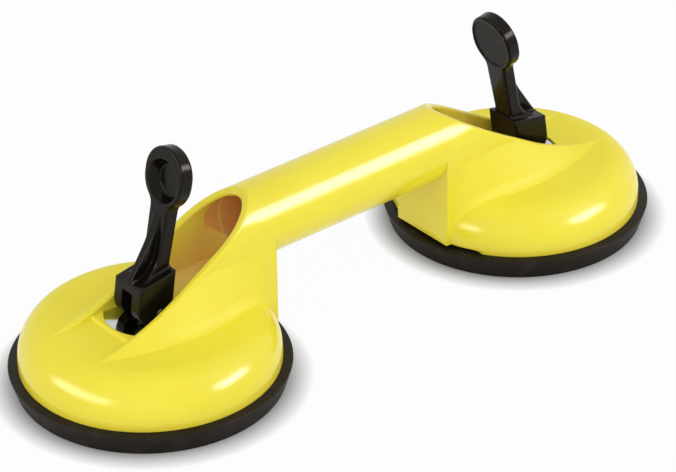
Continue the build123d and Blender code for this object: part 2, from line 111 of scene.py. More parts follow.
class Field:
    """A node's output that takes part in Python arithmetic, adding Math nodes as it goes."""

    def __init__(self, tree: "Tree", socket: bpy.types.NodeSocket) -> None:
        """Wraps one output socket of a tree."""
        self.tree = tree
        self.socket = socket

    def maths(self, operation: str, *values: Number) -> "Field":
        """Adds one Math node.

        Args:
            operation: The Math node's operation.
            values: Its operands, in order.

        Returns:
            The node's result.
        """
        sockets = dict(enumerate(values))
        return self.tree.add("ShaderNodeMath", {"operation": operation}, sockets).out()

    def __add__(self, other: Number) -> "Field":
        """This plus another."""
        return self.maths("ADD", self, other)

    def __radd__(self, other: Number) -> "Field":
        """Another plus this."""
        return self.maths("ADD", other, self)

    def __sub__(self, other: Number) -> "Field":
        """This less another."""
        return self.maths("SUBTRACT", self, other)

    def __rsub__(self, other: Number) -> "Field":
        """Another less this."""
        return self.maths("SUBTRACT", other, self)

    def __mul__(self, other: Number) -> "Field":
        """This times another."""
        return self.maths("MULTIPLY", self, other)

    def __rmul__(self, other: Number) -> "Field":
        """Another times this."""
        return self.maths("MULTIPLY", other, self)

    def __truediv__(self, other: Number) -> "Field":
        """This divided by another."""
        return self.maths("DIVIDE", self, other)

    def __pow__(self, other: Number) -> "Field":
        """This to a power."""
        return self.maths("POWER", self, other)

    def __abs__(self) -> "Field":
        """Its size without its sign."""
        return self.maths("ABSOLUTE", self)

    def least(self, other: Number) -> "Field":
        """The smaller of this and another."""
        return self.maths("MINIMUM", self, other)

    def most(self, other: Number) -> "Field":
        """The larger of this and another."""
        return self.maths("MAXIMUM", self, other)

    def span(self, other: "Field") -> "Field":
        """Distance from zero of the point that has this and another as its coordinates."""
        return (self * self + other * other) ** 0.5

    def swing(self, reach: float) -> "Field":
        """Noise about its middle value, as a change about zero."""
        return (self - NOISE_MIDDLE) * reach

    def between(self, low: float, high: float) -> "Field":
        """Adds a smooth step.

        Args:
            low: Where the step is still 0.
            high: Where it has reached 1. It may be the smaller of the two.

        Returns:
            The step, from 0 to 1.
        """
        sockets = {"Value": self, "From Min": low, "From Max": high}
        settings = {"interpolation_type": "SMOOTHSTEP"}
        return self.tree.add("ShaderNodeMapRange", settings, sockets).out()


@dataclass
class Added:
    """A node that was just added."""

    tree: "Tree"
    node: bpy.types.Node

    def out(self, name: Union[int, str] = 0) -> Field:
        """One of the node's outputs, by its place, name or identifier."""
        return Field(self.tree, self.tree.find(self.node.outputs, name))


class Tree:
    """A node tree that is built from Python."""

    def __init__(self, tree: bpy.types.NodeTree) -> None:
        """Empties the tree and takes it over."""
        self.tree = tree
        self.tree.nodes.clear()

    @staticmethod
    def find(sockets: Any, name: Union[int, str]) -> bpy.types.NodeSocket:
        """Finds one of a node's sockets.

        Args:
            sockets: The node's inputs or outputs.
            name: The socket's place, identifier or name.

        Returns:
            The socket.
        """
        if isinstance(name, int):
            return sockets[name]
        named = {socket.identifier: socket for socket in sockets}
        return named.get(name) or sockets[name]

    def add(self, kind: str, settings: dict | None = None, sockets: dict | None = None) -> Added:
        """Adds a node.

        Args:
            kind: The node's type.
            settings: Its settings, which are set first.
            sockets: Values or fields for its inputs, by place, identifier or name.

        Returns:
            The node, ready to give its outputs.
        """
        node = self.tree.nodes.new(kind)
        for name, value in (settings or {}).items():
            setattr(node, name, value)
        for name, value in (sockets or {}).items():
            socket = self.find(node.inputs, name)
            if isinstance(value, Field):
                self.tree.links.new(value.socket, socket)
            else:
                socket.default_value = value
        return Added(self, node)


class Finish(Tree):
    """A material on Object coordinates, with the few patterns that the finishes share."""

    def __init__(self, name: str) -> None:
        """Starts an empty material.

        Args:
            name: The material's name.
        """
        self.material = bpy.data.materials.new(name)
        self.material.use_nodes = True
        super().__init__(self.material.node_tree)
        self.place = self.add("ShaderNodeTexCoord").out("Object")

    def axes(self) -> tuple[Field, Field, Field]:
        """X, Y and Z of a point, in metres."""
        split = self.add("ShaderNodeSeparateXYZ", sockets={0: self.place})
        return split.out(0), split.out(1), split.out(2)

    def noise(self, size: float, detail: float = 2, stretch: Triple = (1, 1, 1)) -> Field:
        """Noise whose features are about one size.

        Args:
            size: Size of a feature in metres.
            detail: Finer layers.
            stretch: How much closer the features lie along each axis.

        Returns:
            Values about NOISE_MIDDLE.
        """
        place = self.add("ShaderNodeMapping", sockets={"Vector": self.place, "Scale": stretch}).out()
        sockets = {"Vector": place, "Scale": 1 / size, "Detail": detail}
        return self.add("ShaderNodeTexNoise", sockets=sockets).out()

    def mix(self, share: Number, first: Any, second: Any) -> Field:
        """Mixes two colours.

        Args:
            share: Share of the second colour, from 0 to 1.
            first: One colour, as a field or three numbers.
            second: The other.

        Returns:
            The mixed colour.
        """
        sockets = {"Factor_Float": share, "A_Color": first, "B_Color": second}
        for name in ("A_Color", "B_Color"):
            if isinstance(sockets[name], tuple):
                sockets[name] = (*sockets[name], 1)
        return self.add("ShaderNodeMix", {"data_type": "RGBA"}, sockets).out("Result_Color")

    def soft_edges(self, radius: float) -> Field:
        """Normals that round the edges of the mesh."""
        return self.add("ShaderNodeBevel", {"samples": EDGE_SAMPLES}, {"Radius": radius}).out()

    def bump(self, height: Field, depth: float, strength: float, normal: Field) -> Field:
        """Normals of a fine relief.

        Args:
            height: Relief, from 0 to 1.
            depth: Its depth in metres.
            strength: How strongly it shows.
            normal: Normals that it lies on.

        Returns:
            The new normals.
        """
        sockets = {"Strength": strength, "Distance": depth, "Height": height, "Normal": normal}
        return self.add("ShaderNodeBump", sockets=sockets).out()

    def surface(self, **sockets: Any) -> bpy.types.Material:
        """Ends the material in one shader.

        Args:
            sockets: Values or fields of the shader's inputs, with underscores for spaces.

        Returns:
            The finished material.
        """
        named = {name.replace("_", " "): value for name, value in sockets.items()}
        shader = self.add("ShaderNodeBsdfPrincipled", sockets=named).out()
        self.add("ShaderNodeOutputMaterial", sockets={"Surface": shader})
        return self.material


@dataclass(frozen=True)
class YellowMoulding:
    """Glossy yellow plastic, with painted shade in the bore and down the walls of the wells, and
    painted bounce light at the foot of the domes.
    """

    # Colours
    body: Colour = (0.875, 0.745, 0.030)
    pale: Colour = (0.895, 0.775, 0.036)
    # Painted bounce light: a lighter, warmer yellow at the foot of the domes, where the pads shade
    # them.
    foot: Colour = (0.97, 0.80, 0.06)
    # Painted shade: the walls of the wells go from this colour to the next, browner with depth.
    well_shade: Colour = (0.92, 0.76, 0.08)
    well_shade_deep: Colour = (0.93, 0.67, 0.17)
    # Painted shade: the brown of the bore, with the paler step line in it.
    bore: Colour = (0.93, 0.50, 0.15)
    step_line: Colour = (0.95, 0.72, 0.24)

    # Gloss and relief
    roughness: float = 0.18
    satin: float = 0.40
    specular: float = 0.5
    flow_size: float = 34 * MM
    flow_gloss: float = 0.05
    grain_size: float = 0.35 * MM
    grain_gloss: float = 0.06
    peel_size: float = 1.6 * MM
    peel_depth: float = 0.02 * MM
    peel_strength: float = 0.12
    edge_round: float = 0.5 * MM

    # Bore, its mouth in the well and the line of its step, where the painted shade of the bore goes
    tube_height: float = 55 * MM
    bore_radius: float = 13.4 * MM
    bore_fade: float = 0.2 * MM
    mouth_centre: float = 71.6 * MM
    mouth_radius: float = 15.6 * MM
    mouth_fade: float = 0.3 * MM
    mouth_front: float = 0.1 * MM
    step_inset: float = 16.6 * MM
    line_edge: float = 0.9 * MM
    line_core: float = 0.4 * MM

    # Painted shade on the walls of the wells, by depth below the scoop's rim above them
    well_floor: float = 34 * MM
    floor_fade: float = 1 * MM
    well_start: float = 48.5 * MM
    start_fade: float = 0.2 * MM
    well_end: float = 108 * MM
    end_fade: float = 26 * MM
    rim_start: float = 52.1 * MM
    rim_crown: float = 71.4 * MM
    rim_slope: float = tan(radians(30.5))
    shallow: float = 2 * MM
    deep: float = 24 * MM

    # Satin flanks, flattened grip and the painted bounce light at the foot of the domes
    satin_low: float = 23 * MM
    satin_high: float = 53 * MM
    satin_fade: float = 7 * MM
    satin_start: float = 50 * MM
    satin_run: float = 8 * MM
    grip_end: float = 62 * MM
    grip_fade: float = 10 * MM
    flat_angle: float = radians(54)
    flat_half: float = radians(25)
    flat_depth: float = 0.27 * MM
    flat_strength: float = 1.0
    # Heights over which the painted bounce light at the foot of the domes fades in.
    bounce_light_low: float = 10.5 * MM
    bounce_light_high: float = 15 * MM

    def satin_mask(self, finish: Finish) -> Field:
        """Finds the flanks and the crowns of the domes, whose mould was left less polished.

        Args:
            finish: The material that the nodes go into.

        Returns:
            One there and zero elsewhere.
        """
        x, _, z = finish.axes()
        above = z.between(self.satin_low, self.satin_low + self.satin_fade)
        below = z.between(self.satin_high, self.satin_high - self.satin_fade)
        return above * below * abs(x).between(self.satin_start, self.satin_start + self.satin_run)

    def grip_flats(self, finish: Finish) -> Field:
        """Flattens the grip slightly along two bands, at the sides of its crown.

        Args:
            finish: The material that the nodes go into.

        Returns:
            The relief, lowest in the middle of a band and 1 elsewhere.
        """
        x, y, z = finish.axes()
        angle = y.maths("ARCTAN2", abs(y), z - self.tube_height)
        off = (angle - self.flat_angle) / self.flat_half
        bowl = (1 - off * off).most(0)
        on_tube = abs(x).between(self.grip_end, self.grip_end - self.grip_fade)
        return 1 - bowl * bowl * bowl * on_tube

    def well_shade_colour(self, finish: Finish) -> Field:
        """Paints shade on the walls of the wells: browner with the depth below the scoop's rim.

        Args:
            finish: The material that the nodes go into.

        Returns:
            The colour.
        """
        x, _, z = finish.axes()
        rim = self.rim_crown - (abs(x) - self.rim_start) * self.rim_slope
        return finish.mix((rim - z).between(self.shallow, self.deep), self.well_shade, self.well_shade_deep)

    def bore_shade_colour(self, finish: Finish) -> Field:
        """Paints shade on the bore in brown, with the pale line of the step in it.

        Args:
            finish: The material that the nodes go into.

        Returns:
            The colour.
        """
        x, _, _ = finish.axes()
        from_step = abs(abs(x) - (self.mouth_centre - self.step_inset))
        return finish.mix(from_step.between(self.line_edge, self.line_core), self.bore, self.step_line)

    def within_bore(self, across: Field, rise: Field) -> Field:
        """One within the bore's radius, by the distance across the tube and above its axis."""
        return across.span(rise).between(self.bore_radius + self.bore_fade, self.bore_radius)

    def bore_shade_mask(self, finish: Finish) -> Field:
        """Finds the wall of the bore, as far as its curved mouth in the well, where its painted shade
        goes.

        Args:
            finish: The material that the nodes go into.

        Returns:
            One there and zero elsewhere.
        """
        x, y, z = finish.axes()
        along = abs(x) - self.mouth_centre
        mouth_low, mouth_high = self.mouth_radius - self.mouth_fade, self.mouth_radius + self.mouth_fade
        beyond = along.span(y).between(mouth_low, mouth_high)
        within = self.within_bore(y, z - self.tube_height)
        return within * beyond * along.between(self.mouth_front, 0)

    def well_shade_mask(self, finish: Finish) -> Field:
        """Finds the walls of the bore and the wells, where the painted shade goes.

        Args:
            finish: The material that the nodes go into.

        Returns:
            One there and zero elsewhere, fading out in front of the levers.
        """
        x, y, z = finish.axes()
        along = abs(x)
        rise = z - self.tube_height
        arch = self.within_bore(y, rise.most(0))
        bore = self.within_bore(y, rise.least(0))
        in_well = along.between(self.well_start, self.well_start + self.start_fade)
        over_floor = z.between(self.well_floor, self.well_floor + self.floor_fade)
        near = along.between(self.well_end, self.well_end - self.end_fade)
        return arch * bore.most(in_well * over_floor) * near

    def make(self) -> bpy.types.Material:
        """Builds the material.

        Returns:
            The finish of the handle and its domes.
        """
        finish = Finish(Slot.YELLOW.value)
        flow = finish.noise(self.flow_size, detail=3)
        peel = finish.noise(self.peel_size, detail=1)
        grain = finish.noise(self.grain_size)
        _, _, z = finish.axes()
        above = finish.mix(flow.between(*NOISE_SPREAD), self.body, self.pale)
        # Painted bounce light: the domes turn lighter and warmer towards their foot.
        body_with_painted_bounce = finish.mix(z.between(self.bounce_light_high, self.bounce_light_low), above, self.foot)
        # Painted shade: the walls of the wells turn browner with depth, then the bore brown.
        with_well_shade = finish.mix(self.well_shade_mask(finish), body_with_painted_bounce, self.well_shade_colour(finish))
        colour = finish.mix(self.bore_shade_mask(finish), with_well_shade, self.bore_shade_colour(finish))
        edges = finish.soft_edges(self.edge_round)
        flats = finish.bump(self.grip_flats(finish), self.flat_depth, self.flat_strength, edges)
        shine = self.roughness + self.satin_mask(finish) * self.satin
        return finish.surface(
            Base_Color=colour,
            Roughness=shine + flow.swing(self.flow_gloss) + grain.swing(self.grain_gloss),
            Specular_IOR_Level=self.specular,
            Normal=finish.bump(peel, self.peel_depth, self.peel_strength, flats),
        )


@dataclass(frozen=True)
class BlackMoulding:
    """Black glass-filled plastic: a low sheen broken by short fibres under the skin."""

    body: Colour = (0.0045, 0.0037, 0.0026)
    fibre: Colour = (0.0125, 0.0105, 0.0085)
    roughness: float = 0.17
    specular: float = 0.16
    fibre_size: float = 1.1 * MM
    fibre_stretch: Triple = (3, 1, 0.6)
    fibre_low: float = 0.45
    fibre_high: float = 0.8
    fibre_share: float = 0.6
    fibre_gloss: float = 0.10
    grain_size: float = 0.28 * MM
    grain_gloss: float = 0.06
    grain_depth: float = 0.03 * MM
    grain_strength: float = 0.12
    edge_round: float = 0.9 * MM

    def make(self, name: str = Slot.BLACK.value) -> bpy.types.Material:
        """Builds the material.

        Args:
            name: The material's name.

        Returns:
            The finish of the levers or of their thumb ribs.
        """
        finish = Finish(name)
        fibres = finish.noise(self.fibre_size, detail=3, stretch=self.fibre_stretch)
        grain = finish.noise(self.grain_size)
        share = fibres.between(self.fibre_low, self.fibre_high) * self.fibre_share
        edges = finish.soft_edges(self.edge_round)
        return finish.surface(
            Base_Color=finish.mix(share, self.body, self.fibre),
            Roughness=self.roughness + fibres.swing(self.fibre_gloss) + grain.swing(self.grain_gloss),
            Specular_IOR_Level=self.specular,
            Specular_Tint=WARM_SHEEN,
            Normal=finish.bump(grain, self.grain_depth, self.grain_strength, edges),
        )


@dataclass(frozen=True)
class PadRubber:
    """Smooth black rubber with a faint bloom and the fine rings of its turned mould."""

    body: Colour = (0.0088, 0.0064, 0.0038)
    bloom: Colour = (0.0225, 0.0190, 0.0150)
    roughness: float = 0.50
    specular: float = 0.17
    bloom_size: float = 9 * MM
    bloom_low: float = 0.4
    bloom_high: float = 0.75
    bloom_share: float = 0.7
    bloom_gloss: float = 0.2
    speck_size: float = 0.5 * MM
    speck_low: float = 0.62
    speck_high: float = 0.75
    speck_share: float = 0.3
    speck_gloss: float = 0.1
    speck_height: float = 0.7
    ring_height: float = 0.15
    ring_pitch: float = 0.45 * MM
    relief_depth: float = 0.03 * MM
    relief_strength: float = 0.3
    cup_x: float = 103 * MM

    def make(self) -> bpy.types.Material:
        """Builds the material.

        Returns:
            The finish of the pads.
        """
        finish = Finish(Slot.RUBBER.value)
        x, y, _ = finish.axes()
        radius = (abs(x) - self.cup_x).span(y)
        rings = radius.maths("SINE", radius * (FULL_TURN / self.ring_pitch))
        bloom = finish.noise(self.bloom_size, detail=4)
        speck = finish.noise(self.speck_size)
        clouds = bloom.between(self.bloom_low, self.bloom_high) * self.bloom_share
        dusty = clouds + speck.between(self.speck_low, self.speck_high) * self.speck_share
        height = speck * self.speck_height + rings * self.ring_height
        normal = finish.add("ShaderNodeNewGeometry").out("Normal")
        return finish.surface(
            Base_Color=finish.mix(dusty, self.body, self.bloom),
            Roughness=self.roughness + bloom.swing(self.bloom_gloss) + speck.swing(self.speck_gloss),
            Specular_IOR_Level=self.specular,
            Specular_Tint=WARM_SHEEN,
            Normal=finish.bump(height, self.relief_depth, self.relief_strength, normal),
        )


@dataclass(frozen=True)
class Steel:
    """Steel sheet or bar with fine scratches along one axis."""

    slot: Slot
    body: Colour
    dull: Colour
    roughness: float
    scratches: Triple
    line_size: float = 4 * MM
    line_share: float = 0.4
    line_gloss: float = 0.14
    line_depth: float = 0.02 * MM
    line_strength: float = 0.15
    cloud_size: float = 5 * MM
    cloud_share: float = 0.6
    cloud_gloss: float = 0.1
    edge_round: float = 0.2 * MM

    def make(self) -> bpy.types.Material:
        """Builds the material.

        Returns:
            The finish of the slot's steel pieces.
        """
        finish = Finish(self.slot.value)
        lines = finish.noise(self.line_size, detail=4, stretch=self.scratches)
        cloud = finish.noise(self.cloud_size, detail=3)
        share = cloud.between(*NOISE_SPREAD) * self.cloud_share + lines * self.line_share
        edges = finish.soft_edges(self.edge_round)
        return finish.surface(
            Base_Color=finish.mix(share, self.body, self.dull),
            Metallic=1.0,
            Roughness=self.roughness + lines.swing(self.line_gloss) + cloud.swing(self.cloud_gloss),
            Normal=finish.bump(lines, self.line_depth, self.line_strength, edges),
        )


THUMB_PLASTIC = BlackMoulding(specular=0.21, edge_round=0.05 * MM)
PLATED_STEEL = Steel(
    slot=Slot.PLAIN_STEEL,
    body=(0.58, 0.575, 0.56),
    dull=(0.47, 0.47, 0.46),
    roughness=0.34,
    scratches=(8, 8, 1),
)
BRIGHT_STEEL = Steel(
    slot=Slot.POLISHED_STEEL,
    body=(0.60, 0.60, 0.60),
    dull=(0.50, 0.50, 0.50),
    roughness=0.10,
    scratches=(1, 14, 1),
)


def new_piece(
    name: str, mesh: bpy.types.Mesh, finish: bpy.types.Material
) -> bpy.types.Object:
    """Puts a mesh into the scene as one piece at the origin.

    Args:
        name: The piece's name.
        mesh: Its mesh, in place.
        finish: Its material.

    Returns:
        The new object.
    """
    mesh.name = name
    mesh.materials.clear()
    mesh.materials.append(finish)
    piece = bpy.data.objects.new(name, mesh)
    bpy.context.scene.collection.objects.link(piece)
    return piece


def rounded(corners: list[Triple], steps: int = 5) -> list[Vector]:
    """Rounds the corners of a closed outline.

    Args:
        corners: Corners as two coordinates and the radius of their round.
        steps: Parts of each round.

    Returns:
        The outline's points.
    """
    points = []
    places = [Vector(corner[:2]) for corner in corners]
    for index, (place, corner) in enumerate(zip(places, corners)):
        radius = corner[2]
        back = (places[index - 1] - place).normalized()
        ahead = (places[(index + 1) % len(places)] - place).normalized()
        if radius == 0:
            points.append(place)
            continue
        half = acos(max(-1, min(1, back.dot(ahead)))) / 2
        middle = place + (back + ahead).normalized() * radius / sin(half)
        start = place + back * radius / tan(half) - middle
        end = place + ahead * radius / tan(half) - middle
        turn = -start.angle_signed(end)
        for step in range(steps + 1):
            points.append(middle + Matrix.Rotation(turn * step / steps, 2) @ start)
    return points


def divided(points: list[Vector], longest: float) -> list[Vector]:
    """Adds even points to the long runs of a closed outline.

    Args:
        points: The outline's points.
        longest: The longest run that stays whole.

    Returns:
        The outline with the added points.
    """
    result = []
    for index, point in enumerate(points):
        run = points[(index + 1) % len(points)] - point
        parts = max(1, ceil(run.length / longest))
        result += [point + run * part / parts for part in range(parts)]
    return result


def turned(
    section: list[Vector], foot: Vector, start: float, sweep: float, steps: int
) -> bpy.types.Mesh:
    """Turns a closed section about an upright axis.

    Args:
        section: Points of the section, as distance from the axis and height.
        foot: Where the axis meets the floor.
        start: Angle where the turn starts.
        sweep: How far it goes. A whole turn closes on itself, less is capped at both ends.
        steps: Parts of the turn.

    Returns:
        A closed mesh with smooth faces and sharp edges.
    """
    whole = abs(sweep - FULL_TURN) < TURN_SLACK
    build = bmesh.new()
    rows = []
    for step in range(steps if whole else steps + 1):
        angle = start + sweep * step / steps
        out = Vector((cos(angle), sin(angle), 0))
        places = [foot + out * point.x + Vector((0, 0, point.y)) for point in section]
        rows.append([build.verts.new(place) for place in places])
    for step in range(steps):
        near, far = rows[step], rows[(step + 1) % len(rows)]
        for index in range(len(section)):
            after = (index + 1) % len(section)
            build.faces.new((near[index], near[after], far[after], far[index]))
    if not whole:
        build.faces.new(rows[0])
        build.faces.new(rows[-1])
    bmesh.ops.remove_doubles(build, verts=build.verts, dist=MERGE_DISTANCE)
    bmesh.ops.dissolve_degenerate(build, edges=build.edges, dist=MERGE_DISTANCE)
    bmesh.ops.recalc_face_normals(build, faces=build.faces)
    mesh = bpy.data.meshes.new("turned")
    build.to_mesh(mesh)
    build.free()
    mesh.shade_smooth()
    mesh.set_sharp_from_angle(angle=SHARP_ANGLE)
    return mesh


@dataclass
class SuctionPad:
    """Rubber pad: a rim that stays on the glass, a middle that lifts, and a web between them."""

    side: Side
    rubber: bpy.types.Material
    radius: float = 60 * MM
    height: float = 9.5 * MM
    undercut: float = 3 * MM
    seal_width: float = 11 * MM
    seal_slope: float = 2.5 * MM
    recess: float = 1.5 * MM
    web_top: float = 6.5 * MM
    web_inner: float = 33 * MM
    web_outer: float = 45.5 * MM
    rim_slope: float = 3.5 * MM
    boss_slope: float = 2 * MM
    boss_top: float = 8 * MM
    bed_radius: float = 28.2 * MM
    bed_height: float = 5.5 * MM
    flex_start: float = 29 * MM
    lip_round: float = 0.7 * MM
    foot_round: float = 0.5 * MM
    wedges: int = 12
    steps: int = 192
    web_round_steps: int = 3
    flex_step: float = 1.2 * MM

    @property
    def seal_inner(self) -> float:
        """Inner edge of the ring that lies on the glass."""
        return self.radius - self.undercut - self.seal_width

    def rim_section(self) -> list[Vector]:
        """Draws the section of the rim.

        Returns:
            Its points, from the web outwards.
        """
        slope_top = self.web_outer + self.rim_slope
        share = (self.seal_inner - self.web_outer) / self.rim_slope
        joint_top = self.web_top + share * (self.height - self.web_top)
        corners = [
            (self.seal_inner, 0, 0),
            (self.radius - self.undercut, 0, self.foot_round),
            (self.radius, self.height, self.lip_round),
            (slope_top, self.height, 0),
            (self.seal_inner, joint_top, 0),
        ]
        return rounded(corners)

    def web_section(self) -> list[Vector]:
        """Draws the section of the web.

        Returns:
            Its points, close together.
        """
        joint_top = self.rim_section()[-1].y
        corners = [
            (self.flex_start, self.recess, 0),
            (self.seal_inner - self.seal_slope, self.recess, self.foot_round),
            (self.seal_inner, 0, 0),
            (self.seal_inner, joint_top, 0),
            (self.web_outer, self.web_top, 0),
            (self.web_inner, self.web_top, self.foot_round),
            (self.web_inner - self.boss_slope, self.boss_top, self.foot_round),
            (self.flex_start, self.boss_top, 0),
        ]
        return divided(rounded(corners, self.web_round_steps), self.flex_step)

    def middle_section(self) -> list[Vector]:
        """Draws the section of the middle, with the bed of the steel plate.

        Returns:
            Its points, from the axis outwards.
        """
        corners = [
            (0, self.recess, 0),
            (self.flex_start, self.recess, 0),
            (self.flex_start, self.boss_top, 0),
            (self.bed_radius, self.boss_top, 0),
            (self.bed_radius, self.bed_height, 0),
            (0, self.bed_height, 0),
        ]
        return rounded(corners)

    def build(self) -> list[bpy.types.Object]:
        """Makes the pad's pieces; the rim follows the housing and the middle the lift.

        Returns:
            The rim, the middle and the wedges of the web.
        """
        foot = self.side.foot
        lift = self.side.node("lift")
        node = self.side.node("suction_pad")
        rim = self.piece("pad_rim", turned(self.rim_section(), foot, 0, FULL_TURN, self.steps))
        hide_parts(node)
        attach(rim, "housing")
        middle = self.piece("pad_middle", turned(self.middle_section(), foot, 0, FULL_TURN, self.steps))
        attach(middle, lift)
        pieces = [rim, middle]
        sweep = FULL_TURN / self.wedges
        for index in range(self.wedges):
            start = index * sweep
            mesh = turned(self.web_section(), foot, start, sweep, self.steps // self.wedges)
            wedge = self.piece(f"pad_web_{index + 1:02d}", mesh)
            out = Vector((cos(start + sweep / 2), sin(start + sweep / 2), 0))
            held = foot + out * self.seal_inner * cos(sweep / 2)
            drawn = foot + out * self.flex_start
            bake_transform(wedge)
            pieces.append(wedge)
        return pieces

    def piece(self, name: str, mesh: bpy.types.Mesh) -> bpy.types.Object:
        """One rubber piece of this pad."""
        return new_piece(self.side.node(name), mesh, self.rubber)


@dataclass
class ThumbRibs:
    """Fine ribs across the oval thumb face on the inner side of a lever's head."""

    side: Side
    plastic: bpy.types.Material
    lean: float = radians(8.8)
    rake: float = radians(3.6)
    shaft_back: float = 5 * MM
    rake_start: float = 14 * MM
    head_height: float = 43.8 * MM
    sink: float = 0.75 * MM
    radius: float = 10.3 * MM
    stretch: float = 2 * MM
    pitch: float = 1.3 * MM
    rib_radius: float = 0.45 * MM
    rib_sides: int = 8
    sharp_angle: float = radians(50)

    def tree(self) -> bpy.types.NodeTree:
        """Builds the Geometry Nodes tree that fills an oval with parallel ribs.

        Returns:
            The tree. Its ribs end at the oval's edge.
        """
        group = bpy.data.node_groups.new("thumb_ribs", "GeometryNodeTree")
        group.interface.new_socket("Geometry", in_out="OUTPUT", socket_type="NodeSocketGeometry")
        for name in ("Disc Radius", "Stretch", "Pitch", "Rib Radius"):
            group.interface.new_socket(name, in_out="INPUT", socket_type="NodeSocketFloat")
        group.interface.new_socket("Ribs", in_out="INPUT", socket_type="NodeSocketInt")
        group.interface.new_socket("Finish", in_out="INPUT", socket_type="NodeSocketMaterial")
        tree = Tree(group)
        given = tree.add("NodeGroupInput")
        disc, stretch = given.out("Disc Radius"), given.out("Stretch")
        pitch, thick = given.out("Pitch"), given.out("Rib Radius")
        count = given.out("Ribs")
        first = tree.add("ShaderNodeCombineXYZ", sockets={"Z": (1 - count) * pitch * 0.5}).out()
        step = tree.add("ShaderNodeCombineXYZ", sockets={"Z": pitch}).out()
        sockets = {"Count": count, "Start Location": first, "Offset": step}
        line = tree.add("GeometryNodeMeshLine", sockets=sockets)
        place = tree.add("GeometryNodeInputPosition").out()
        height = tree.add("ShaderNodeSeparateXYZ", sockets={0: place}).out(2)
        past = (abs(height) - stretch * 0.5).most(0)
        length = 2 * (disc * disc - past * past).most(0) ** 0.5
        scale = tree.add("ShaderNodeCombineXYZ", sockets={"X": 1.0, "Y": 1.0, "Z": length}).out()
        sockets = {"Vertices": self.rib_sides, "Radius": thick, "Depth": 1.0}
        rib = tree.add("GeometryNodeMeshCylinder", sockets=sockets)
        placed = tree.add(
            "GeometryNodeInstanceOnPoints",
            sockets={
                "Points": line.out(),
                "Instance": rib.out(),
                "Rotation": (pi / 2, 0, 0),
                "Scale": scale,
            },
        )
        real = tree.add("GeometryNodeRealizeInstances", sockets={"Geometry": placed.out()})
        sockets = {"Geometry": real.out(), "Material": given.out("Finish")}
        dressed = tree.add("GeometryNodeSetMaterial", sockets=sockets)
        tree.add("NodeGroupOutput", sockets={0: dressed.out()})
        return group

    def face(self) -> Matrix:
        """Finds the frame of the thumb face.

        Returns:
            The frame: X out of the lever's inner face, Y across it, Z up the shaft.
        """
        sign = self.side.value
        total = self.lean + self.rake
        block_out = Vector((sign * cos(self.lean), 0, sin(self.lean)))
        block_up = Vector((-sign * sin(self.lean), 0, cos(self.lean)))
        shaft_out = Vector((sign * cos(total), 0, sin(total)))
        shaft_up = Vector((-sign * sin(total), 0, cos(total)))
        root = self.side.middle("pivot_pin") - block_out * self.shaft_back + block_up * self.rake_start
        centre = root + shaft_up * self.head_height + shaft_out * self.sink
        across = shaft_up.cross(-shaft_out)
        turn = Matrix((-shaft_out, across, shaft_up)).transposed().to_4x4()
        return Matrix.Translation(centre) @ turn

    def build(self) -> bpy.types.Object:
        """Makes the ribs and lets them ride on the lever.

        Returns:
            The piece.
        """
        holder = bpy.data.objects.new("rib_holder", bpy.data.meshes.new("rib_holder"))
        bpy.context.scene.collection.objects.link(holder)
        ribs = holder.modifiers.new("ribs", "NODES")
        ribs.node_group = self.tree()
        values = {
            "Disc Radius": self.radius,
            "Stretch": self.stretch,
            "Pitch": self.pitch,
            "Rib Radius": self.rib_radius,
            "Ribs": floor((2 * self.radius + self.stretch) / self.pitch),
            "Finish": self.plastic,
        }
        for socket in ribs.node_group.interface.items_tree:
            if socket.in_out == "INPUT":
                ribs[socket.identifier] = values[socket.name]
        evaluated = holder.evaluated_get(bpy.context.evaluated_depsgraph_get())
        mesh = bpy.data.meshes.new_from_object(evaluated)
        holder.modifiers.remove(ribs)
        bpy.data.objects.remove(holder)
        mesh.transform(self.face())
        mesh.shade_smooth()
        mesh.set_sharp_from_angle(angle=self.sharp_angle)
        piece = new_piece(self.side.node("thumb_ribs"), mesh, self.plastic)
        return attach(piece, self.side.node("cam_lever"))


class Lifter:
    """The whole object: finishes of the CAD nodes, and the pieces that are added or replaced."""

    def finishes(self) -> dict[Slot, bpy.types.Material]:
        """One material for each of the record's slots."""
        return {
            Slot.YELLOW: YellowMoulding().make(),
            Slot.BLACK: BlackMoulding().make(),
            Slot.RUBBER: PadRubber().make(),
            Slot.PLAIN_STEEL: PLATED_STEEL.make(),
            Slot.POLISHED_STEEL: BRIGHT_STEEL.make(),
        }

    def dress(self, finishes: dict[Slot, bpy.types.Material]) -> None:
        """Gives each CAD node that stays in view its finish.

        Args:
            finishes: The materials, by their slots.
        """
        dressed = {"handle_body": Slot.YELLOW}
        for side in Side:
            dressed[side.node("lever")] = Slot.BLACK
            dressed[side.node("wear_plate")] = Slot.POLISHED_STEEL
            for piece in ("pivot_pin", "draw_bar", "pad_plate"):
                dressed[side.node(piece)] = Slot.PLAIN_STEEL
        for name, slot in dressed.items():
            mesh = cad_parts[name].data
            mesh.materials.clear()
            mesh.materials.append(finishes[slot])
            log.info("%s: %s", name, slot.value)

    def build(self) -> None:
        """Dresses the nodes and builds the pieces."""
        finishes = self.finishes()
        self.dress(finishes)
        ribbed = THUMB_PLASTIC.make("thumb_plastic")
        for side in Side:
            pieces = SuctionPad(side, finishes[Slot.RUBBER]).build()
            pieces.append(ThumbRibs(side, ribbed).build())
            for piece in pieces:
                log.info("%s: %d faces", piece.name, len(piece.data.polygons))


def towards(azimuth: float, elevation: float) -> Vector:
    """Direction from the object: azimuth 0 is the front, and positive ones go round to the right."""
    flat = cos(elevation)
    return Vector((sin(azimuth) * flat, -cos(azimuth) * flat, sin(elevation)))


